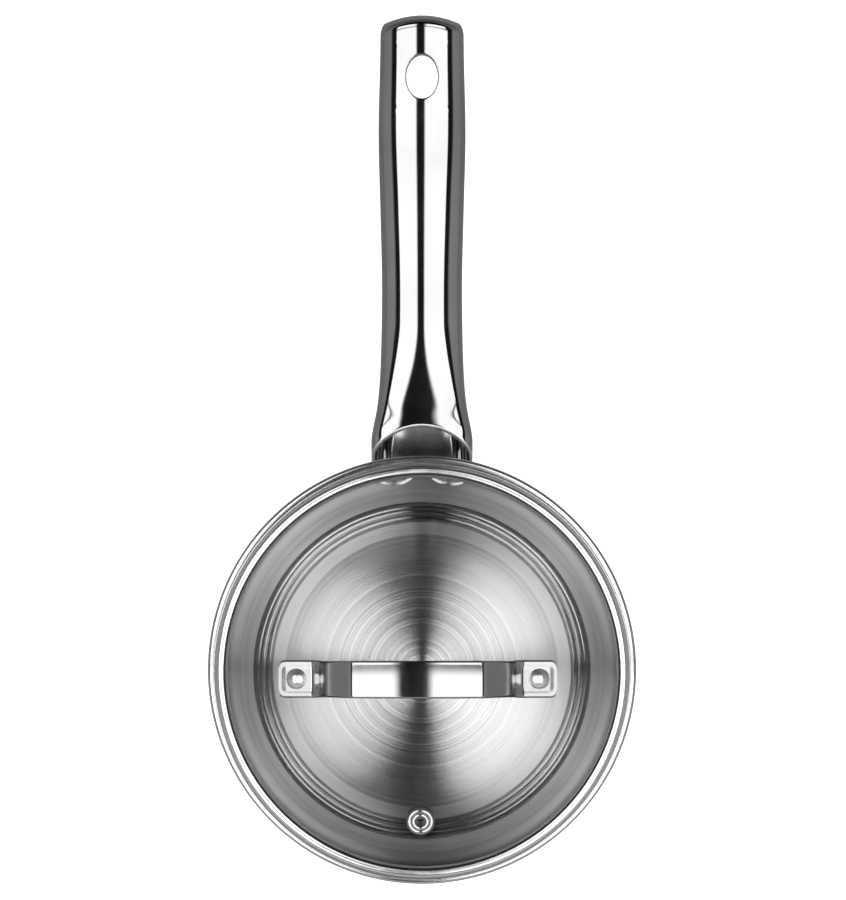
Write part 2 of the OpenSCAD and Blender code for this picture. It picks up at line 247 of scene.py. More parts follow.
def rivet_frames():
    """Places on the pan's axis at the handle rivets, with Z pointing out of the pan."""
    turn = math.degrees(math.asin(RIVET_PITCH / 2 / WALL_R))
    return [moved(0, 0, ROOT_Z) @ turned("Z", -side * turn) @ turned("X", -90) for side in (-1, 1)]


# ---- Materials ----

class Shader:
    """A Principled material with a short way to add nodes."""

    def __init__(self, name, **values):
        self.material = bpy.data.materials.new(name)
        self.material.use_nodes = True
        self.tree = self.material.node_tree
        self.main = self.tree.nodes["Principled BSDF"]
        for key, value in values.items():
            self.main.inputs[key.replace("_", " ")].default_value = value

    def add(self, kind, **settings):
        node = self.tree.nodes.new("ShaderNode" + kind)
        for key, value in settings.items():
            setattr(node, key, value)
        return node

    def link(self, out, into):
        self.tree.links.new(out, into)

    def place(self, scale=(1, 1, 1)):
        """Object coordinates, scaled."""
        where = self.add("TexCoord")
        mapping = self.add("Mapping")
        mapping.inputs["Scale"].default_value = scale
        self.link(where.outputs["Object"], mapping.inputs["Vector"])
        return mapping.outputs["Vector"]

    def noise(self, vector, scale, detail=3.0, rough=0.55):
        n = self.add("TexNoise")
        n.inputs["Scale"].default_value = scale
        n.inputs["Detail"].default_value = detail
        n.inputs["Roughness"].default_value = rough
        self.link(vector, n.inputs["Vector"])
        return n.outputs["Fac"]

    def math(self, kind, a, b=None):
        n = self.add("Math", operation=kind)
        for socket, value in zip(n.inputs, (a, b)):
            if value is None:
                continue
            if isinstance(value, (int, float)):
                socket.default_value = value
            else:
                self.link(value, socket)
        return n.outputs[0]

    def spread(self, fac, low, high, from_low=0.3, from_high=0.7):
        """Maps a number from one range to another."""
        n = self.add("MapRange")
        limits = {"From Min": from_low, "From Max": from_high, "To Min": low, "To Max": high}
        for key, value in limits.items():
            n.inputs[key].default_value = value
        self.link(fac, n.inputs["Value"])
        return n.outputs["Result"]

    def shades(self, fac, low, high, from_low=0.3, from_high=0.7):
        """A colour between low and high."""
        n = self.add("ValToRGB")
        for stop, at, colour in zip(n.color_ramp.elements, (from_low, from_high), (low, high)):
            stop.position = at
            stop.color = (*colour, 1)
        self.link(fac, n.inputs["Fac"])
        return n.outputs["Color"]

    def faded(self, colour, amount):
        """The colour times a number."""
        n = self.add("MixRGB", blend_type="MULTIPLY")
        n.inputs["Fac"].default_value = 1.0
        self.link(colour, n.inputs["Color1"])
        self.link(amount, n.inputs["Color2"])
        return n.outputs["Color"]

    def bump(self, height, strength, distance):
        """A normal that follows a height, with the distance in millimetres."""
        n = self.add("Bump")
        n.inputs["Strength"].default_value = strength
        n.inputs["Distance"].default_value = distance * MM
        self.link(height, n.inputs["Height"])
        return n.outputs["Normal"]

    def set(self, **links):
        for key, out in links.items():
            self.link(out, self.main.inputs[key.replace("_", " ")])
        return self.material

    def axis_distance(self):
        """Distance from the upright axis, in metres."""
        split = self.add("SeparateXYZ")
        self.link(self.place(), split.inputs[0])
        x, y = split.outputs["X"], split.outputs["Y"]
        return self.math("SQRT", self.math("ADD", self.math("MULTIPLY", x, x), self.math("MULTIPLY", y, y)))

    def height(self):
        """Height over the floor, in metres."""
        split = self.add("SeparateXYZ")
        self.link(self.place(), split.inputs[0])
        return split.outputs["Z"]

    def along(self, number):
        """A number as a place in a texture."""
        join = self.add("CombineXYZ")
        self.link(number, join.inputs["X"])
        return join.outputs[0]


def mirror_steel(name, low=0.66, high=0.72, rough=0.06, smudge=0.05, wave=0.02):
    """Polished stainless sheet with faint wipe marks and a slight waviness."""
    s = Shader(name, Metallic=1.0)
    smudges = s.noise(s.place(), 38, 4)
    wipes = s.noise(s.place(scale=(1, 0.25, 1)), 420, 3)
    tint = s.shades(smudges, (low, low * 0.995, low * 0.985), (high, high, high * 0.995))
    gloss = s.math("ADD", s.spread(smudges, rough, rough + smudge), s.spread(wipes, 0, 0.02))
    waves = s.bump(s.noise(s.place(), 55, 1), wave, 0.5)
    return s.set(Base_Color=tint, Roughness=gloss, Normal=waves)


def satin_steel(name, value=0.66, rough=0.3, streak=(1, 1, 40), scale=60):
    """Brushed stainless with streaks stretched across the Z axis."""
    s = Shader(name, Metallic=1.0)
    streaks = s.noise(s.place(scale=streak), scale, 5, 0.65)
    clouds = s.noise(s.place(), 30, 3)
    tint = s.shades(streaks, (value * 0.9,) * 3, (value * 1.06,) * 3)
    gloss = s.math("ADD", s.spread(streaks, rough - 0.04, rough + 0.05), s.spread(clouds, -0.02, 0.02))
    fine = s.bump(streaks, 0.12, 0.05)
    return s.set(Base_Color=tint, Roughness=gloss, Normal=fine)


def turned_steel(name, low=0.56, high=0.74, rough=0.27, upright=False, grain=1500):
    """Steel brushed on a lathe: fine rings round the pan's axis that spread highlights across them.

    On an upright wall the rings are stacked, and their colour is darkened towards the rim as painted shade
    under the lid.
    """
    # heights in metres where the painted shade under the lid starts and is full, and the factor it darkens
    # the colour to
    wall_shade_start, wall_shade_end, wall_shade_depth = 0.048, 0.07, 0.12
    s = Shader(name, Metallic=1.0, Anisotropic=1.0, Anisotropic_Rotation=0.25)
    where = s.height() if upright else s.axis_distance()
    rings = s.noise(s.along(where), grain, 6, 0.75)
    broad = s.noise(s.along(where), 260, 3)
    arcs = s.noise(s.place(), 45, 3)
    mixed = s.math("ADD", s.math("MULTIPLY", rings, 0.75), s.math("MULTIPLY", broad, 0.25))
    tint = s.shades(mixed, (low,) * 3, (high,) * 3, 0.35, 0.65)
    if upright:
        # painted shade: the wall's colour darkens towards the rim, under the lid's band
        tint = s.faded(tint, s.spread(where, 1.0, wall_shade_depth, wall_shade_start, wall_shade_end))
    gloss = s.math("ADD", s.spread(mixed, rough, rough + 0.08), s.spread(arcs, -0.004, 0.004))
    tangent = s.add("Tangent", direction_type="RADIAL", axis="Z")
    s.link(tangent.outputs[0], s.main.inputs["Tangent"])
    return s.set(Base_Color=tint, Roughness=gloss, Normal=s.bump(mixed, 0.05, 0.03))


def aluminium(name):
    s = Shader(name, Metallic=1.0)
    grain = s.noise(s.place(), 900, 4)
    return s.set(Base_Color=s.shades(grain, (0.6, 0.6, 0.6), (0.72, 0.72, 0.73)),
                 Roughness=s.spread(grain, 0.32, 0.45), Normal=s.bump(grain, 0.1, 0.05))


def base_steel(name):
    """The underside's plate, turned in rings and slightly scuffed."""
    s = Shader(name, Metallic=1.0, Anisotropic=0.8, Anisotropic_Rotation=0.25)
    rings = s.noise(s.along(s.axis_distance()), 1100, 5, 0.7)
    scuffs = s.noise(s.place(), 160, 5)
    gloss = s.math("ADD", s.spread(rings, 0.24, 0.34), s.spread(scuffs, 0, 0.08, 0.5, 0.75))
    tangent = s.add("Tangent", direction_type="RADIAL", axis="Z")
    s.link(tangent.outputs[0], s.main.inputs["Tangent"])
    return s.set(Base_Color=s.shades(rings, (0.52, 0.52, 0.515), (0.66, 0.66, 0.655)),
                 Roughness=gloss, Normal=s.bump(rings, 0.08, 0.04))


def clear_glass(name):
    """Toughened glass: clear head on, mirroring at a slant, with a faint film of wiping."""
    head_on, slanted = 0.004, 0.5
    s = Shader(name)
    film = s.noise(s.place(), 24, 3)
    clear = s.add("BsdfTransparent")
    s.link(s.shades(film, (0.965, 0.967, 0.967), (0.98, 0.982, 0.982)), clear.inputs["Color"])
    gloss = s.add("BsdfGlossy")
    s.link(s.spread(film, 0.02, 0.06, 0.45, 0.8), gloss.inputs["Roughness"])
    turn = s.add("LayerWeight")
    turn.inputs["Blend"].default_value = 0.5
    edge = s.math("MULTIPLY", s.math("POWER", turn.outputs["Facing"], 5.0), slanted)
    mix = s.add("MixShader")
    s.link(s.math("ADD", edge, head_on), mix.inputs["Fac"])
    s.link(clear.outputs[0], mix.inputs[1])
    s.link(gloss.outputs[0], mix.inputs[2])
    s.link(mix.outputs[0], s.tree.nodes["Material Output"].inputs["Surface"])
    s.tree.nodes.remove(s.main)
    return s.material


def silicone(name, low=0.035, high=0.06):
    s = Shader(name, Metallic=0.0, IOR=1.41)
    grain = s.noise(s.place(), 1400, 3)
    dust = s.noise(s.place(), 120, 4)
    return s.set(Base_Color=s.shades(dust, (low,) * 3, (high,) * 3),
                 Roughness=s.spread(dust, 0.45, 0.6), Normal=s.bump(grain, 0.15, 0.03))


LIP_STEEL = mirror_steel("lip_steel", 0.6, 0.68, rough=0.1)
OUTER_STEEL = mirror_steel("outer_wall_steel", rough=0.09, smudge=0.06, wave=0.03)
# painted highlight and shade: the floor border and corner are brightened copies of the turned steel, the
# pressed step a darkened copy
BORDER_HIGHLIGHT_STEEL = turned_steel("floor_border_painted_highlight_steel", 0.82, 0.95, rough=0.2)
STEP_SHADE_STEEL = turned_steel("step_painted_shade_steel", 0.3, 0.56, rough=0.1)
CORNER_HIGHLIGHT_STEEL = turned_steel("corner_painted_highlight_steel", 0.8, 0.97, rough=0.26, grain=900)
WALL_STEEL = turned_steel("inner_wall_steel", 0.45, 0.78, rough=0.26, upright=True, grain=900)
FLOOR_STEEL = turned_steel("brushed_floor_steel", 0.5, 0.92, rough=0.16, grain=800)
BASE_STEEL = base_steel("base_steel")
CORE_METAL = aluminium("core_aluminium")
BRACKET_STEEL = mirror_steel("bracket_steel", 0.42, 0.5, rough=0.12)
HANDLE_STEEL = mirror_steel("handle_steel", 0.38, 0.43, rough=0.03, smudge=0.02)
# the mouth's rounded edge: rougher satin finish, with its colour raised far above the handle's as painted
# highlight
EDGE_HIGHLIGHT_STEEL = satin_steel("handle_edge_highlight_steel", value=0.85, rough=0.45, streak=(1, 1, 1), scale=400)
RIVET_STEEL = mirror_steel("rivet_steel", rough=0.16, wave=0.0)
STUD_STEEL = mirror_steel("stud_steel", 0.78, 0.84, rough=0.25, wave=0.0)
PAD_STEEL = satin_steel("pad_steel", value=0.4, rough=0.24, streak=(1, 1, 1), scale=120)
GLASS = clear_glass("lid_glass")
BAND_STEEL = satin_steel("band_steel", value=0.78, rough=0.22, streak=(1, 1, 12), scale=90)
# painted shade: a darkened copy of the band's satin steel, put on folds and recesses that lie in shade
PAINTED_SHADE_STEEL = satin_steel("painted_shade_steel", value=0.14, rough=0.3, streak=(1, 1, 12), scale=90)
STRAP_STEEL = mirror_steel("strap_steel", 0.42, 0.48, rough=0.05, smudge=0.03)
VENT_STEEL = mirror_steel("vent_steel", rough=0.08, wave=0.0)
# painted shade: near-black steel for the shade inside the vent's bore
BORE_SHADE_STEEL = satin_steel("vent_bore_painted_shade_steel", value=0.06, rough=0.4, streak=(1, 1, 1), scale=400)
SOFT_GREY = silicone("silicone")


# ---- Pan ----

def pressed_corner():
    """The corner between floor and wall, with two low ridges and a groove where the base is pressed."""
    ridges = ((70.4, 0.3, 0.5), (73.1, 0.18, 0.45))  # radius, height and width of each
    groove_r, groove_depth, groove_w, groove_from = 68.4, 0.22, 0.8, 67.0
    line = []
    for turn in np.linspace(0, 90, 100)[:-1]:
        t = math.radians(turn)
        r = PAN_R - CORNER_R + CORNER_R * math.sin(t)
        lift = sum(high * math.exp(-((r - at) / wide) ** 2) for at, high, wide in ridges)
        lift -= groove_depth * math.exp(-((r - groove_r) / groove_w) ** 2) * smooth(r - groove_from)
        z = FLOOR_Z + CORNER_R - CORNER_R * math.cos(t)
        line.append((r - lift * math.sin(t), z + lift * math.cos(t)))
    return line


def pan_body():
    """The pressed pan: brushed floor, a floor border and polished corner brightened as painted highlight, a
    pressed step darkened as painted shade, satin wall and a flared, rolled lip.
    """
    brushed, border, step, corner, wall, lip, outside = range(7)
    parts = [
        (brushed, [(r, FLOOR_Z + FLOOR_CROWN * (1 - (r / BRUSHED_R) ** 2)) for r in range(0, 61, 4)]),
        (border, [(BRUSHED_R, FLOOR_Z)]),
        (step, [p for p in pressed_corner() if p[0] < STEP_R]),
        (corner, [p for p in pressed_corner() if p[0] >= STEP_R]),
        (wall, [(PAN_R, FLOOR_Z + CORNER_R), (PAN_R, 40), (PAN_R, 60)]),
        (lip, arc(PAN_R + FLARE_R, RIM_Z - FLARE_R, FLARE_R, 180, 90, 14)),
        (lip, arc(ROLL_X, RIM_Z - ROLL_R, ROLL_R, 90, -60, 18)),
        (lip, arc(ROLL_X, RIM_Z - ROLL_R, ROLL_R - WALL, -60, 90, 10)),
        (outside, arc(PAN_R + FLARE_R, RIM_Z - FLARE_R, FLARE_R - WALL, 90, 180, 10)),
        (outside, [(WALL_R, 50), (WALL_R, 30)]),
        (outside, arc(PAN_R - CORNER_R, FLOOR_Z + CORNER_R, CORNER_R + WALL, 0, -90, 24)),
        (outside, [(0, FLOOR_Z - WALL)]),
    ]
    made = lathe(*zoned(parts), 320)
    # the border and corner materials carry painted highlight, the step's material painted shade
    materials = [FLOOR_STEEL, BORDER_HIGHLIGHT_STEEL, STEP_SHADE_STEEL, CORNER_HIGHLIGHT_STEEL, WALL_STEEL, LIP_STEEL, OUTER_STEEL]
    obj = finish_mesh("pan_body", *made, materials)
    return settle(obj, "pan", ["pan_vessel"])


def base_dish():
    """The steel dish under the heat spreader, with pressed rings and a rounded edge."""
    ring_w, ring_d, ring_lip, edge_r = 1.6, 0.25, 0.25, 0.2
    cap_r = CORE_R + CAP_T
    outline = [(0, 0)]
    for r in (24, 34, 44, 54):
        low, high = r - ring_w / 2, r + ring_w / 2
        outline += [(low - ring_lip, 0), (low, ring_d), (high, ring_d), (high + ring_lip, 0)]
    outline += arc(cap_r - CAP_T, CAP_T, CAP_T, -90, 0, 8)
    outline += [(cap_r, CAP_T + CORE_T - edge_r), (cap_r - edge_r, CAP_T + CORE_T), (CORE_R, CAP_T + CORE_T)]
    outline += [(CORE_R, CAP_T), (0, CAP_T)]
    obj = finish_mesh("base_dish", *lathe(outline, None, 256), [BASE_STEEL])
    return settle(obj, "pan", ["base_cap"])


# ---- Long handle ----

def blended(knots, s):
    """A smooth curve through the knots."""
    x = np.array([k[0] for k in knots], float)
    y = np.array([k[1] for k in knots], float)
    slope = np.gradient(y, x)
    slope[1:-1] = (y[2:] - y[:-2]) / (x[2:] - x[:-2])
    i = np.clip(np.searchsorted(x, s, side="right") - 1, 0, len(x) - 2)
    w = x[i + 1] - x[i]
    u = (s - x[i]) / w
    return ((2 * u ** 3 - 3 * u ** 2 + 1) * y[i] + (u ** 3 - 2 * u ** 2 + u) * slope[i] * w
            + (3 * u ** 2 - 2 * u ** 3) * y[i + 1] + (u ** 3 - u ** 2) * slope[i + 1] * w)


def path_frame(q):
    """Place and slope of the handle's path at distance q."""
    slope = SLOPE_ROOT + (SLOPE_GRIP - SLOPE_ROOT) * np.minimum(q, BEND_LEN) / BEND_LEN
    straight = np.maximum(q - BEND_LEN, 0)
    y = ROOT_R + BEND_R * (np.sin(slope) - math.sin(SLOPE_ROOT)) + straight * math.cos(SLOPE_GRIP)
    z = ROOT_Z + BEND_R * (math.cos(SLOPE_ROOT) - np.cos(slope)) + straight * math.sin(SLOPE_GRIP)
    return y, z, slope


def tip_bow(s, x):
    """How far the rounded tip draws back at x from the middle."""
    return smooth((s - HANDLE_LEN + TIP_BLEND) / TIP_BLEND) * x * x / (2 * TIP_CURVE_R)


def on_path(x, q, z):
    """A point at x across the handle, q along its path and z square to it."""
    y0, z0, slope = path_frame(q)
    return np.stack([x, y0 - z * np.sin(slope), z0 + z * np.cos(slope)], -1)


def shell_grid(at, end, angle, inset, side):
    """Points of a handle shell: at is the distance along, end closes the tip, angle goes round."""
    s = at + (END_LEN - inset) * np.sin(end)
    w = blended(HALF_WIDTHS, at) - inset - END_CORNER * (1 - np.cos(end))
    d = (blended(HALF_DEPTHS, at) - inset) * np.cos(end)
    n = 2 + ROOT_SQUARE * smooth(1 - at / SQUARE_LEN)
    across, up = np.cos(angle), np.abs(np.sin(angle))
    out = (np.abs(across) ** n + up ** n) ** (-1 / n)
    u, v = out * across, out * up
    x = w * u
    z = side * d * v
    wall_bow = ROOT_R - np.sqrt(ROOT_R ** 2 - x * x)
    cheek = (SCOOP_SIDE - BEVEL * inset / SHELL_T) * smooth(v / CHEEK_H)
    scoop = 0 if side < 0 else cheek + (SCOOP_TOP - SCOOP_SIDE) * np.maximum(1 - u * u, 0) ** SCOOP_CURVE
    root = smooth(1 - at / ROOT_REACH) * (1 - at / ROOT_REACH) * (scoop - wall_bow)
    q = s - tip_bow(s, x) + root
    return x, q, z


def surface_at(x, q, inset, side):
    """A point of the straight part of a handle shell over x, q."""
    s = q
    for _ in range(12):
        s = q + tip_bow(s, x)
    w = blended(HALF_WIDTHS, s) - inset
    d = blended(HALF_DEPTHS, s) - inset
    return x, q, side * d * np.sqrt(1 - (x / w) ** 2)


def oval(angle, grow=0.0):
    """The hanging hole's edge, or one that is wider by grow, as x and distance along."""
    return (HOLE_W / 2 + grow) * np.cos(angle), HOLE_S + (HOLE_L / 2 + grow) * np.sin(angle)


def handle_shell(name, side, node):
    """A half of the hollow handle: a sheet with thickness, an oval hole and a rounded mouth edge."""
    body_rows, tip_rows, cols, hole_rings = 150, 14, 72, 6
    seam_depth, seam_tightness, seam_w = 0.12, 30, 16
    reach, hole_half_w = 4.5, 16.4  # how far the rings round the hole spread, and the half width there
    lip_turns = (25, 50, 70)
    at = np.concatenate([np.linspace(0, HANDLE_LEN - END_LEN, body_rows),
                         np.full(tip_rows, HANDLE_LEN - END_LEN)])
    end = np.concatenate([np.zeros(body_rows), np.linspace(0, math.pi / 2, tip_rows + 1)[1:]])
    angle = math.pi / 2 * (1 - np.cos(np.linspace(0, math.pi, cols + 1)))
    at_g, angle_g = np.meshgrid(at, angle, indexing="ij")
    end_g, _ = np.meshgrid(end, angle, indexing="ij")
    seam = seam_depth * np.exp(-(np.sin(angle_g) * seam_tightness) ** 2)
    rows = len(at)
    row_in = [i for i in range(body_rows) if abs(at[i] - HOLE_S) < HOLE_L / 2 + SLEEVE_T + reach]
    col_in = [j for j in range(cols + 1)
              if abs(hole_half_w * math.cos(angle[j])) < HOLE_W / 2 + SLEEVE_T + reach]
    i0, i1, j0, j1 = row_in[0], row_in[-1], col_in[0], col_in[-1]
    border = ([(i0, j) for j in range(j0, j1)] + [(i, j1) for i in range(i0, i1)]
              + [(i1, j) for j in range(j1, j0, -1)] + [(i, j0) for i in range(i1, i0, -1)])
    inside = {(i, j) for i in range(i0 + 1, i1) for j in range(j0 + 1, j1)}
    points, faces, grids, holes = [], [], [], []
    for inset in (0.0, SHELL_T):
        x, q, z = shell_grid(at_g, end_g, angle_g, inset, side)
        if inset == 0:
            x = x * (1 - seam / seam_w)
        xyz = on_path(x, q, z)
        index = {}
        for i in range(rows):
            for j in range(cols + 1):
                if (i, j) not in inside:
                    index[i, j] = len(points)
                    points.append(xyz[i, j])
        ring = [index[ij] for ij in border]
        bx = np.array([x[ij] for ij in border])
        bq = np.array([q[ij] for ij in border])
        turn = np.arctan2((bq - HOLE_S) / HOLE_L, bx / HOLE_W)
        ox, oq = oval(turn, SLEEVE_T)
        rings = [ring]
        for k in range(1, hole_rings + 1):
            u = (1 - k / hole_rings) ** 1.2
            spot = on_path(*surface_at(ox + (bx - ox) * u, oq + (bq - oq) * u, inset, side))
            rings.append(list(range(len(points), len(points) + len(spot))))
            points += list(spot)
        for outer, inner in zip(rings, rings[1:]):
            for a in range(len(outer)):
                b = (a + 1) % len(outer)
                faces.append([outer[a], outer[b], inner[b], inner[a]])
        for i in range(rows - 1):
            for j in range(cols):
                if not (i0 <= i < i1 and j0 <= j < j1):
                    faces.append([index[i, j], index[i + 1, j], index[i + 1, j + 1], index[i, j + 1]])
        grids.append(index)
        holes.append(rings[-1])
    outer, inner = grids
    inward = np.array([0, -math.cos(SLOPE_ROOT), -math.sin(SLOPE_ROOT)])
    lips = [outer]
    for turn in np.radians(lip_turns):
        lip = {}
        for j in range(cols + 1):
            a, b = np.array(points[outer[0, j]]), np.array(points[inner[0, j]])
            along = inward * ((b - a) @ inward)
            lip[0, j] = len(points)
            points.append(a + along * math.sin(turn) + (b - a - along) * (1 - math.cos(turn)))
        lips.append(lip)
    lips.append(inner)
    edge_from = len(faces)
    for upper, lower in zip(lips, lips[1:]):
        for j in range(cols):
            faces.append([upper[0, j], upper[0, j + 1], lower[0, j + 1], lower[0, j]])
    edge_to = len(faces)
    for j in (0, cols):
        faces.append([lip[0, j] for lip in lips])
    for j in range(cols):
        faces.append([outer[rows - 1, j], inner[rows - 1, j], inner[rows - 1, j + 1], outer[rows - 1, j + 1]])
    for i in range(rows - 1):
        faces.append([outer[i, 0], inner[i, 0], inner[i + 1, 0], outer[i + 1, 0]])
        faces.append([outer[i, cols], outer[i + 1, cols], inner[i + 1, cols], inner[i, cols]])
    for a in range(len(holes[0])):
        b = (a + 1) % len(holes[0])
        faces.append([holes[0][a], holes[0][b], holes[1][b], holes[1][a]])
    zones = [1 if edge_from <= k < edge_to else 0 for k in range(len(faces))]
    # the mouth edge's zone takes the paler steel, a painted highlight
    obj = finish_mesh(name, points, faces, zones, [HANDLE_STEEL, EDGE_HIGHLIGHT_STEEL], sharp=50)
    return settle(obj, "pan", [node])


def swept(loops):
    """A closed skin over a row of equal loops of points, capped at both ends."""
    n, count = len(loops[0]), len(loops)
    points = [p for loop in loops for p in loop]
    faces = [[i * n + k, i * n + (k + 1) % n, (i + 1) * n + (k + 1) % n, (i + 1) * n + k]
             for i in range(count - 1) for k in range(n)]
    faces += [list(range(n)), list(range((count - 1) * n, count * n))]
    return points, faces, [0] * len(faces)


def bracket():
    """The curved plate on the wall, and its tongue that lies like a saddle on the handle's floor."""
    half_turn, half_h, edge_r = 12.2, 10.0, 0.5
    tongue_from, tongue_to, tongue_t, tongue_edge, tongue_gap = -2.5, 30.0, 2.0, 50.0, 0.15
    rim_t, rim_turn, across = 0.5, 3.0, 48  # the tongue thins to rim_t over its outer rim_turn degrees
    out = WALL_R + PLATE_T
    section = ([(WALL_R, -half_h)] + arc(out - edge_r, edge_r - half_h, edge_r, -90, 0, 4)
               + arc(out - edge_r, half_h - edge_r, edge_r, 0, 90, 4) + [(WALL_R, half_h)])
    plate = []
    for turn in np.radians(np.linspace(90 - half_turn, 90 + half_turn, 40)):
        plate.append([(r * math.cos(turn), r * math.sin(turn), ROOT_Z + z) for r, z in section])
    angle = np.radians(np.linspace(tongue_edge, 180 - tongue_edge, across))
    edge = np.clip(np.minimum(angle - angle[0], angle[-1] - angle) / math.radians(rim_turn), 0, 1)
    low = SHELL_T + tongue_gap
    high = low + rim_t + (tongue_t - rim_t) * edge ** 0.5
    tongue = []
    for s in np.linspace(tongue_from, tongue_to, 30):
        spot, flat = np.full(across, s), np.zeros(across)
        under = on_path(*shell_grid(spot, flat, angle, low, -1))
        over = on_path(*shell_grid(spot, flat, angle, high, -1))
        tongue.append(list(under) + list(over[::-1]))
    obj = finish_mesh("bracket", *joined(swept(plate), swept(tongue)), [BRACKET_STEEL], sharp=40)
    return settle(obj, "pan", ["handle_bracket"])


def hole_sleeve():
    """The oval tube through both shells, with rounded ends level with the shells."""
    turn = np.linspace(0, 2 * math.pi, 97)[:-1]
    edge_r, loops = 0.5, []
    for side in (1, -1):
        ox, oq = oval(turn, SLEEVE_T)
        _, _, z_out = surface_at(ox, oq, 0.0, side)
        steps = np.linspace(0, math.pi / 2, 6)
        ring = [on_path(ox, oq, z_out)]
        for e in steps:
            x, q = oval(turn, edge_r * (1 - math.sin(e)))
            _, _, z = surface_at(x, q, 0.0, side)
            ring.append(on_path(x, q, z - side * edge_r * (1 - math.cos(e))))
        loops += ring if side > 0 else ring[::-1]
    points = [p for loop in loops for p in loop]
    n, count = len(turn), len(loops)
    faces = [[k * n + a, k * n + (a + 1) % n, ((k + 1) % count) * n + (a + 1) % n, ((k + 1) % count) * n + a]
             for k in range(count) for a in range(n)]
    obj = finish_mesh("hole_sleeve", points, faces, None, [HANDLE_STEEL])
    return settle(obj, "pan", ["hang_hole_sleeve"])


def domed(r, h):
    """Outline of a domed head on z = 0, from its edge to its top."""
    foot, chamfer = 0.25, 0.1
    ball = ((r * r) + (h - foot) ** 2) / (2 * (h - foot))
    edge = 90 - math.degrees(math.asin(r / ball))
    return [(r - chamfer, 0), (r, chamfer)] + arc(0, h - ball, ball, edge, 90, 18)


def handle_rivet_pair():
    """Domed heads inside the pan, shanks through the wall and upset ends on the bracket."""
    tail_r, tail_h = 4.6, 1.6
    seat = math.sqrt(PAN_R ** 2 - RIVET_HEAD_R ** 2)
    end = WALL_R + PLATE_T
    parts = []
    for place in rivet_frames():
        head = [(r, seat - z) for r, z in domed(RIVET_HEAD_R, RIVET_HEAD_H)][::-1]
        head[0] = (0, head[0][1])
        tail = [(r, end + z) for r, z in domed(tail_r, tail_h)]
        tail[-1] = (0, tail[-1][1])
        outline = head + [(RIVET_SHANK_R, seat), (RIVET_SHANK_R, end)] + tail
        parts.append(lathe(outline, None, 96, place))
    obj = finish_mesh("handle_rivet_pair", *joined(*parts), [RIVET_STEEL])
    return settle(obj, "pan", ["handle_rivets"])


# ---- Lid ----

def drilled(obj, cutters):
    """Cuts closed cutter meshes out of obj."""
    for cutter in cutters:
        cut = obj.modifiers.new("cut", "BOOLEAN")
        cut.operation, cut.solver, cut.object = "DIFFERENCE", "EXACT", cutter
    shown = obj.evaluated_get(bpy.context.evaluated_depsgraph_get())
    mesh = bpy.data.meshes.new_from_object(shown)
    old = obj.data
    obj.modifiers.clear()
    obj.data = mesh
    bpy.data.meshes.remove(old)
    for cutter in cutters:
        bpy.data.objects.remove(cutter)
    mesh.polygons.foreach_set("use_smooth", [True] * len(mesh.polygons))
    mesh.set_sharp_from_angle(angle=math.radians(35))


def lid_dome():
    """The domed glass with a flat brim, and holes for the strap's rivets and the vent."""
    knee, knee_lift, under_knee, edge_r = 1.5, 0.12, 1, 0.8
    rivet_hole_r, vent_hole_r, bar_reach = 3.4, 3.6, 12
    glass_top = GLASS_Z + GLASS_T
    top = [(r, DOME_Z + math.sqrt(DOME_R ** 2 - r * r)) for r in np.linspace(0, BRIM_R - knee, 40)]
    under_r = math.sqrt(UNDER_R ** 2 - (GLASS_Z - DOME_Z) ** 2)
    under = [(r, DOME_Z + math.sqrt(UNDER_R ** 2 - r * r)) for r in np.linspace(under_r - under_knee, 0, 40)]
    brim = [(BRIM_R, glass_top + knee_lift), (BRIM_R + knee, glass_top)]
    edge = arc(GLASS_R - edge_r, glass_top - edge_r, edge_r, 90, 0, 5)
    edge += arc(GLASS_R - edge_r, GLASS_Z + edge_r, edge_r, 0, -90, 5)
    outline = top + brim + edge + [(under_r + under_knee, GLASS_Z)] + under
    obj = finish_mesh("lid_dome", *lathe(outline, None, 192, moved(0, LID_Y, 0)), [GLASS])
    bars = []
    for place, r in [(p, rivet_hole_r) for p in pad_frames()] + [(vent_frame(), vent_hole_r)]:
        bar = lathe([(0, -bar_reach), (r, -bar_reach), (r, bar_reach), (0, bar_reach)], None, 48, place)
        bars.append(finish_mesh("bar", *bar, [GLASS]))
    drilled(obj, bars)
    return settle(obj, "lid", ["lid_glass"])


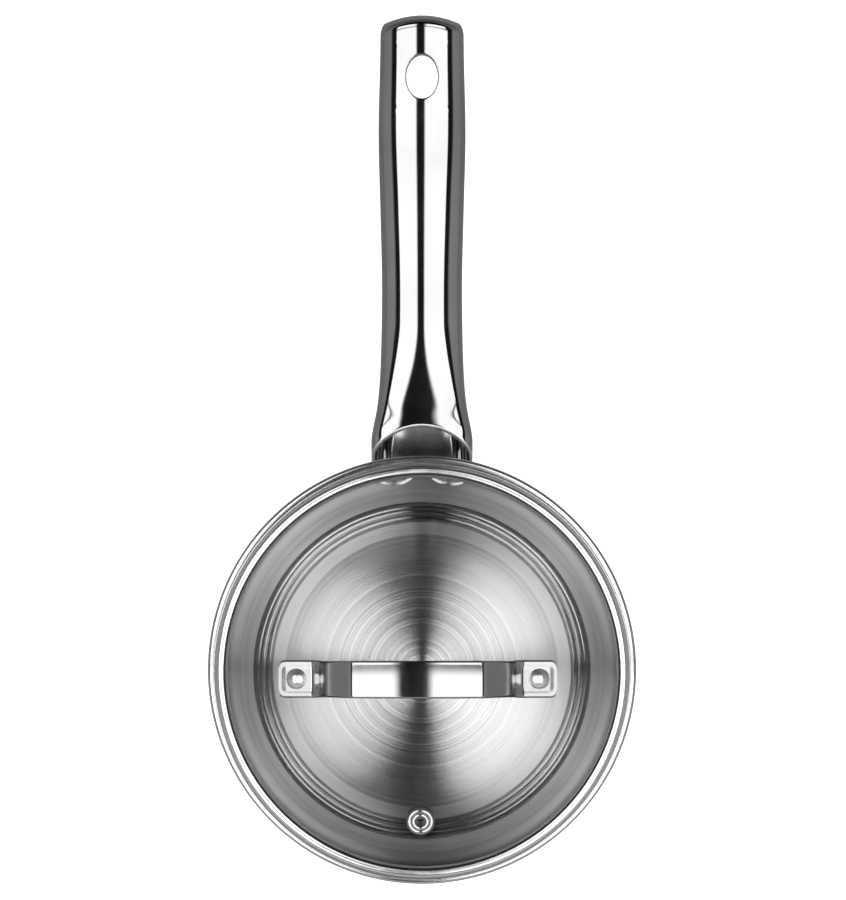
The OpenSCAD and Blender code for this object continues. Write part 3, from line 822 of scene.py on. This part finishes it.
def rim_band():
    """The rolled steel rim: a bead on the glass, a flange on the lip and a skirt inside the wall."""
    # the second zone is painted shade: the skirt, flange groove, bead's inner side and glass edge take the
    # darkened band steel
    steel, shade_zone = range(2)
    bead_r, bead_x, bead_lift, flange_r = 2.2, PAN_R - 0.15, 1.0, PAN_R + 3.5
    bright_to, inner_shade_from = 118, 120  # where the bead's bright top ends and its inner side, darkened as painted shade, begins
    skirt_out, skirt_in, skirt_h, edge = PAN_R - 1.3, PAN_R - 1.9, 4.5, 0.15
    bend_r, groove_w, groove_h, chamfer = 0.4, 0.2, 0.3, 1.0
    inner_x, inner_lip, inner_h = 77.1, 0.1, 0.05
    glass_top, band_top = GLASS_Z + GLASS_T, SEAT_Z + BAND_T
    bead_z = glass_top + bead_lift - bead_r
    outer = bead_x + bead_r
    flange_x = flange_r - BAND_T / 2
    low = SEAT_Z - skirt_h
    inner_turn = 180 - math.degrees(math.asin((glass_top - bead_z) / bead_r))
    parts = [
        (shade_zone, [(skirt_in + edge, low), (skirt_out - edge, low), (skirt_out, low + edge)]),
        (shade_zone, arc(skirt_out + bend_r, SEAT_Z - bend_r, bend_r, 180, 90, 4)),
        (steel, arc(flange_x, SEAT_Z + BAND_T / 2, BAND_T / 2, -90, 60, 8)),
        (shade_zone, [(flange_x - 0.1, band_top), (outer + groove_w, band_top), (outer, band_top + groove_h)]),
        (steel, arc(bead_x, bead_z, bead_r, 0, bright_to, 24)),
        (shade_zone, arc(bead_x, bead_z, bead_r, inner_shade_from, inner_turn, 8)),
        (shade_zone, [(inner_x + inner_lip, glass_top + inner_h), (inner_x, glass_top)]),
        (shade_zone, [(GLASS_R - chamfer, glass_top), (GLASS_R, glass_top - chamfer)]),
        (shade_zone, [(GLASS_R, GLASS_Z + chamfer), (GLASS_R - chamfer, GLASS_Z)]),
        (shade_zone, [(skirt_in, GLASS_Z), (skirt_in, low + edge)]),
    ]
    made = lathe(*zoned(parts), 320, moved(0, LID_Y, 0))
    obj = finish_mesh("rim_band", *made, [BAND_STEEL, PAINTED_SHADE_STEEL])
    return settle(obj, "lid", ["lid_rim_band"])


def rounded(line, radii, step):
    """A polyline with its corners filleted, resampled in short steps, and the distances along it."""
    out = [np.array(line[0], float)]
    for i in range(1, len(line) - 1):
        p, a, b = (np.array(v, float) for v in (line[i], line[i - 1], line[i + 1]))
        u, v = (a - p) / np.linalg.norm(a - p), (b - p) / np.linalg.norm(b - p)
        half = math.acos(np.clip(u @ v, -1, 1)) / 2
        r = radii[i]
        if r <= 0 or half > math.pi / 2 - 1e-3:
            out.append(p)
            continue
        reach = r / math.tan(half)
        centre = p + (u + v) / np.linalg.norm(u + v) * r / math.sin(half)
        start, stop = p + u * reach - centre, p + v * reach - centre
        turn = math.acos(np.clip(start @ stop / r ** 2, -1, 1))
        for k in range(13):
            f = k / 12
            swung = start * math.sin(turn * (1 - f)) + stop * math.sin(turn * f)
            out.append(centre + swung / math.sin(turn))
    out.append(np.array(line[-1], float))
    out = np.array(out)
    length = np.concatenate([[0], np.cumsum(np.linalg.norm(np.diff(out, axis=0), axis=1))])
    count = int(length[-1] / step)
    spots = np.linspace(0, length[-1], count + 1)
    return np.stack([np.interp(spots, length, out[:, k]) for k in (0, 1)], -1), spots


def strap():
    """The lid's handle: a bent channel strip with turned-down sides and a dished pad at each end."""
    pad_reach, step_x, step_w, step_h, arch_half, arch_rise = 7.3, 41.0, 2.6, 2.4, 25.2, 2.5
    pad_half, arch_half_w, pad_corner, widen_len = 7.4, 7.1, 2.4, 7.0
    knee_w, knee_h, knee_from, knee_r, step_r = 0.4, 0.1, 2.6, 5.0, 3.0
    pad_side, arch_side, bend_from = 0.35, 2.4, 0.2  # depths of the turned-down sides, start of their bend
    edge_r, crown, border_h, border_w, border_in, dish_corner = 1.0, 0.12, 0.5, 2.4, 0.8, 3.2
    thick, bevel_w, bevel_h = STRAP_T - 0.15, 0.35, 0.5
    arch_r = (arch_half ** 2 + arch_rise ** 2) / (2 * arch_rise)

    def pad_line(x):
        return (DOME_R + PAD_LIFT + STRAP_T - x * math.sin(PAD_LEAN)) / math.cos(PAD_LEAN)

    arch_z = pad_line(PAD_X) + ARCH_H
    half = [(PAD_X + pad_reach, pad_line(PAD_X + pad_reach)), (step_x, pad_line(step_x)),
            (step_x - step_w, pad_line(step_x) + step_h), (arch_half + knee_w, arch_z - arch_rise - knee_h)]
    top_turn = math.degrees(math.asin((arch_half - knee_from) / arch_r))
    top = arc(0, arch_z - arch_r, arch_r, 90 - top_turn, 90, 24)
    right = half + top
    line = right + [(-x, z) for x, z in right[-2::-1]]
    radii = [0, step_r, step_r, knee_r] + [0] * len(top)
    radii += radii[-2::-1]
    spine, at = rounded(line, radii, 0.4)
    tangent = np.gradient(spine, at, axis=0)
    tangent /= np.linalg.norm(tangent, axis=1)[:, None]
    normal = np.stack([tangent[:, 1], -tangent[:, 0]], -1)
    normal *= np.sign(normal[len(normal) // 2, 1])
    total = at[-1]
    from_end = np.minimum(at, total - at)
    pad_len = PAD_X + pad_reach - step_x
    arch = smooth((from_end - pad_len) / widen_len)
    corner_in = np.maximum(pad_corner - from_end, 0)
    corner_cut = pad_corner - np.sqrt(pad_corner ** 2 - corner_in ** 2)
    width = pad_half + (arch_half_w - pad_half) * arch - corner_cut
    side_depth = pad_side + arch_side * arch

    def section(i):
        """Outer then inner points across the strip: offset along the width and height over the spine."""
        w, depth, up = width[i], side_depth[i], []
        flat = w - edge_r
        for v in np.linspace(-flat, flat, 25):
            side_gap, end_gap = flat - abs(v), max(from_end[i] - border_in, 0)
            near = dish_corner - math.hypot(max(dish_corner - side_gap, 0), max(dish_corner - end_gap, 0))
            dish = border_h * (smooth(1 - near / border_w) - 1) * (1 - arch[i])
            up.append((v, dish - crown * arch[i] * (v / w) ** 2))
        rim = up[-1][1]
        bend = [(flat + edge_r * math.sin(t), rim - edge_r * (1 - math.cos(t)))
                for t in np.linspace(bend_from, math.pi / 2, 6)]
        right = bend + [(w, rim - edge_r - depth)]
        outer = [(-v, z) for v, z in right[::-1]] + up + right
        inner_w = w - thick
        inner = [(inner_w, rim - edge_r - depth)]
        inner += [(inner_w, rim - thick - bevel_h), (inner_w - bevel_w, rim - thick)]
        inner += [(v * (inner_w - 2 * bevel_w) / flat, z - thick) for v, z in up[::-1]]
        inner += [(-v, z) for v, z in inner[2::-1]]
        return outer + inner

    frame_of = strap_frame()
    rows = []
    for i in range(len(spine)):
        spots = [(spine[i] + normal[i] * h, v) for v, h in section(i)]
        rows.append([frame_of @ Vector((spot[0], v, spot[1])) for spot, v in spots])
    points, faces, _ = swept(rows)
    pads = from_end < pad_len - 0.5
    zones = [1 if pads[i] else 0 for i in range(len(rows) - 1) for _ in rows[0]] + [1, 1]
    obj = finish_mesh("strap", points, faces, zones, [STRAP_STEEL, PAD_STEEL], sharp=45)
    return settle(obj, "lid", ["lid_handle"])


def strap_rivet_pair():
    """Domed heads on the pads, shanks through the glass and upset ends under the washers."""
    shank_r, low, sunk, tail_r, tail_h = 2.2, GLASS_T + 1.8, 0.55, 3.4, 1.3
    parts = []
    for place in pad_frames():
        seat = PAD_LIFT + STRAP_T - sunk
        head = [(r, seat + z) for r, z in domed(HEAD_R, HEAD_H + sunk)]
        head[-1] = (0, head[-1][1])
        tail = [(r, -low - z) for r, z in domed(tail_r, tail_h)][::-1]
        tail[0] = (0, tail[0][1])
        outline = tail + [(shank_r, -low), (shank_r, seat)] + head
        parts.append(lathe(outline, None, 80, place))
    obj = finish_mesh("strap_rivet_pair", *joined(*parts), [STUD_STEEL])
    return settle(obj, "lid", ["lid_handle_rivets"])


def vent_ring():
    """A rolled eyelet: a raised lip round the steam hole, a hollow and a rounded outer flange."""
    gasket_t, flange_t, tube_r, low = 0.8, 0.5, 3.0, -GLASS_T - 1.3
    lip_r, flange_x, flange_r, roll_x, roll_r, edge = 0.7, 4.4, 0.8, 4.15, 0.25, 0.1
    hollow_from, hollow_to, hollow_h = 3.4, 3.65, 0.55
    top, outer = gasket_t + flange_t, flange_x + flange_r
    # the bore and the hollow are painted shade: near-black steel and the darkened band steel
    bright, bore, hollow = range(3)
    parts = [
        (bore, [(VENT_R, low), (VENT_R, top - 0.6)]),
        (bright, arc(VENT_R + lip_r, top - 0.4, lip_r, 160, 20, 10)),
        (hollow, [(hollow_from, top - hollow_h), (hollow_to, top - hollow_h)]),
        (bright, arc(flange_x, top - 0.75, flange_r, 150, 0, 10)),
        (hollow, [(outer, gasket_t + edge / 2), (outer - edge, gasket_t), (tube_r, gasket_t)]),
        (hollow, [(tube_r, low + 2 * roll_r)] + arc(roll_x, low + roll_r, roll_r, 90, -90, 5)),
    ]
    made = lathe(*zoned(parts), 96, vent_frame())
    obj = finish_mesh("vent_ring", *made, [VENT_STEEL, BORE_SHADE_STEEL, PAINTED_SHADE_STEEL], sharp=60)
    return settle(obj, "lid", ["vent_eyelet"])


def vent_seal():
    """The soft ring under the eyelet's flange, with a neck in the glass."""
    bore_r, neck_r, neck_low = 3.0, 3.6, 0.6 - GLASS_T
    ring_x, ring_r, ring_z, ring_top = 5.45, 0.35, 0.4, 0.78
    outline = [(bore_r, neck_low), (neck_r - 0.05, neck_low), (neck_r, 0)]
    outline += arc(ring_x, ring_z, ring_r, -90, 90, 8) + [(bore_r, ring_top)]
    obj = finish_mesh("vent_seal", *lathe(outline, None, 96, vent_frame()), [SOFT_GREY])
    return settle(obj, "lid", ["vent_gasket"])


def carried_over():
    """CAD nodes that are shown as they are, with finished materials."""
    looks = {"base_core": CORE_METAL, "lid_handle_gaskets": SOFT_GREY, "lid_seal_washers": SOFT_GREY,
             "lid_backing_washers": VENT_STEEL, "vent_washer": SOFT_GREY}
    for node, material in looks.items():
        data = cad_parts[node].data
        data.materials.clear()
        data.materials.append(material)


# ---- Room ----

def floor_paint(name, shown, fill_level, mirrored):
    """A floor that looks white to the camera and calmer in the steel."""
    m = bpy.data.materials.new(name)
    m.use_nodes = True
    tree = m.node_tree
    tree.nodes.clear()
    out = tree.nodes.new("ShaderNodeOutputMaterial")
    mix = tree.nodes.new("ShaderNodeMixShader")
    path = tree.nodes.new("ShaderNodeLightPath")
    lit = tree.nodes.new("ShaderNodeBsdfDiffuse")
    lit.inputs["Color"].default_value = (shown, shown, shown, 1)
    fill = tree.nodes.new("ShaderNodeEmission")
    fill.inputs["Strength"].default_value = fill_level
    seen = tree.nodes.new("ShaderNodeAddShader")
    tree.links.new(lit.outputs[0], seen.inputs[0])
    tree.links.new(fill.outputs[0], seen.inputs[1])
    calm = tree.nodes.new("ShaderNodeEmission")
    calm.inputs["Color"].default_value = (mirrored, mirrored, mirrored, 1)
    tree.links.new(path.outputs["Is Glossy Ray"], mix.inputs["Fac"])
    tree.links.new(seen.outputs[0], mix.inputs[1])
    tree.links.new(calm.outputs[0], mix.inputs[2])
    tree.links.new(mix.outputs[0], out.inputs["Surface"])
    return m


def floor():
    """The pale floor that the pan stands on."""
    size = 4.0
    mesh = bpy.data.meshes.new("floor")
    corners = [(-size, -size, 0), (size, -size, 0), (size, size, 0), (-size, size, 0)]
    mesh.from_pydata(corners, [], [[0, 1, 2, 3]])
    obj = bpy.data.objects.new("floor", mesh)
    bpy.context.scene.collection.objects.link(obj)
    mesh.materials.append(floor_paint("floor_white", 0.82, 0.8, 0.3))


def panel(name, x0, x1, y0, y1, level, soft):
    """A level softbox over the object, from x0 to x1 and y0 to y1 metres, fading over its soft margin."""
    height = 1.18
    light = bpy.data.lights.new(name, "AREA")
    light.shape = "RECTANGLE"
    light.size, light.size_y = x1 - x0, y1 - y0
    light.energy = 4 * light.size * light.size_y * level
    light.use_nodes = True
    tree = light.node_tree
    glow = tree.nodes["Emission"]
    spot = tree.nodes.new("ShaderNodeNewGeometry")
    split = tree.nodes.new("ShaderNodeSeparateXYZ")
    tree.links.new(spot.outputs["Parametric"], split.inputs[0])
    shares = []
    for axis, width in (("X", light.size), ("Y", light.size_y)):
        edge = tree.nodes.new("ShaderNodeMath")
        edge.operation = "PINGPONG"
        edge.inputs[1].default_value = 0.5
        tree.links.new(split.outputs[axis], edge.inputs[0])
        fade = tree.nodes.new("ShaderNodeMapRange")
        fade.interpolation_type = "SMOOTHSTEP"
        fade.inputs["From Max"].default_value = min(soft / width, 0.5)
        tree.links.new(edge.outputs[0], fade.inputs["Value"])
        shares.append(fade.outputs["Result"])
    both = tree.nodes.new("ShaderNodeMath")
    both.operation = "MULTIPLY"
    tree.links.new(shares[0], both.inputs[0])
    tree.links.new(shares[1], both.inputs[1])
    tree.links.new(both.outputs[0], glow.inputs["Strength"])
    obj = bpy.data.objects.new(name, light)
    obj.location = ((x0 + x1) / 2, (y0 + y1) / 2, height)
    bpy.context.scene.collection.objects.link(obj)


def lights():
    """Softboxes on both sides of a dark gap that runs along the long handle."""
    right, left, near_edge, far_edge = 0.045, -0.13, -1.0, 0.75
    panel("right_front", right, 1.1, near_edge, 0.05, 1.9, 0.07)
    panel("right_key", right, 0.3, -0.34, -0.05, 4.5, 0.07)
    panel("left_front", -1.1, left, near_edge, 0.05, 1.9, 0.07)
    panel("right_back", 0.03, 1.0, -0.08, far_edge, 1.9, 0.16)
    panel("left_back", -1.1, -0.12, -0.08, far_edge, 1.9, 0.12)


def room():
    """Dark overhead, grey towards the horizon and darker behind the long handle, but pale to look at."""
    horizon, overhead, backdrop = (0.5, 0.5, 0.5, 1), (0.02, 0.02, 0.02, 1), (0.8, 0.8, 0.8, 1)
    front_level, back_level = 1.25, 0.25
    world = bpy.data.worlds.new("room")
    bpy.context.scene.world = world
    world.use_nodes = True
    tree = world.node_tree
    back = tree.nodes["Background"]
    where = tree.nodes.new("ShaderNodeTexCoord")
    split = tree.nodes.new("ShaderNodeSeparateXYZ")
    ramp = tree.nodes.new("ShaderNodeValToRGB")
    tree.links.new(where.outputs["Generated"], split.inputs[0])
    tree.links.new(split.outputs["Z"], ramp.inputs["Fac"])
    ramp.color_ramp.elements[0].position = 0.48
    ramp.color_ramp.elements[0].color = horizon
    ramp.color_ramp.elements[1].position = 0.56
    ramp.color_ramp.elements[1].color = overhead
    tree.links.new(ramp.outputs["Color"], back.inputs["Color"])
    side = tree.nodes.new("ShaderNodeMapRange")
    limits = {"From Min": -0.9, "From Max": 0.9, "To Min": front_level, "To Max": back_level}
    for key, value in limits.items():
        side.inputs[key].default_value = value
    tree.links.new(split.outputs["Y"], side.inputs["Value"])
    tree.links.new(side.outputs["Result"], back.inputs["Strength"])
    pale = tree.nodes.new("ShaderNodeBackground")
    pale.inputs["Color"].default_value = backdrop
    path = tree.nodes.new("ShaderNodeLightPath")
    mix = tree.nodes.new("ShaderNodeMixShader")
    tree.links.new(path.outputs["Is Camera Ray"], mix.inputs["Fac"])
    tree.links.new(back.outputs[0], mix.inputs[1])
    tree.links.new(pale.outputs[0], mix.inputs[2])
    tree.links.new(mix.outputs[0], tree.nodes["World Output"].inputs["Surface"])


def camera():
    """Straight down over the pan, with the long handle up in the picture."""
    over_rim = 600
    data = bpy.data.cameras.new("camera")
    data.lens = 60
    data.sensor_width = 36
    data.shift_x, data.shift_y = 0.0022, 0.2533
    data.clip_start, data.clip_end = 0.01, 20
    obj = bpy.data.objects.new("camera", data)
    obj.location = (-0.0004, -0.0033, (RIM_Z + over_rim) * MM)
    bpy.context.scene.collection.objects.link(obj)
    bpy.context.scene.camera = obj


pan_body()
base_dish()
handle_shell("handle_top", 1, "handle_upper_shell")
handle_shell("handle_bottom", -1, "handle_lower_shell")
bracket()
hole_sleeve()
handle_rivet_pair()
lid_dome()
rim_band()
strap()
strap_rivet_pair()
vent_ring()
vent_seal()
carried_over()
floor()
room()
lights()
camera()
bpy.context.scene.view_settings.view_transform = "Standard"
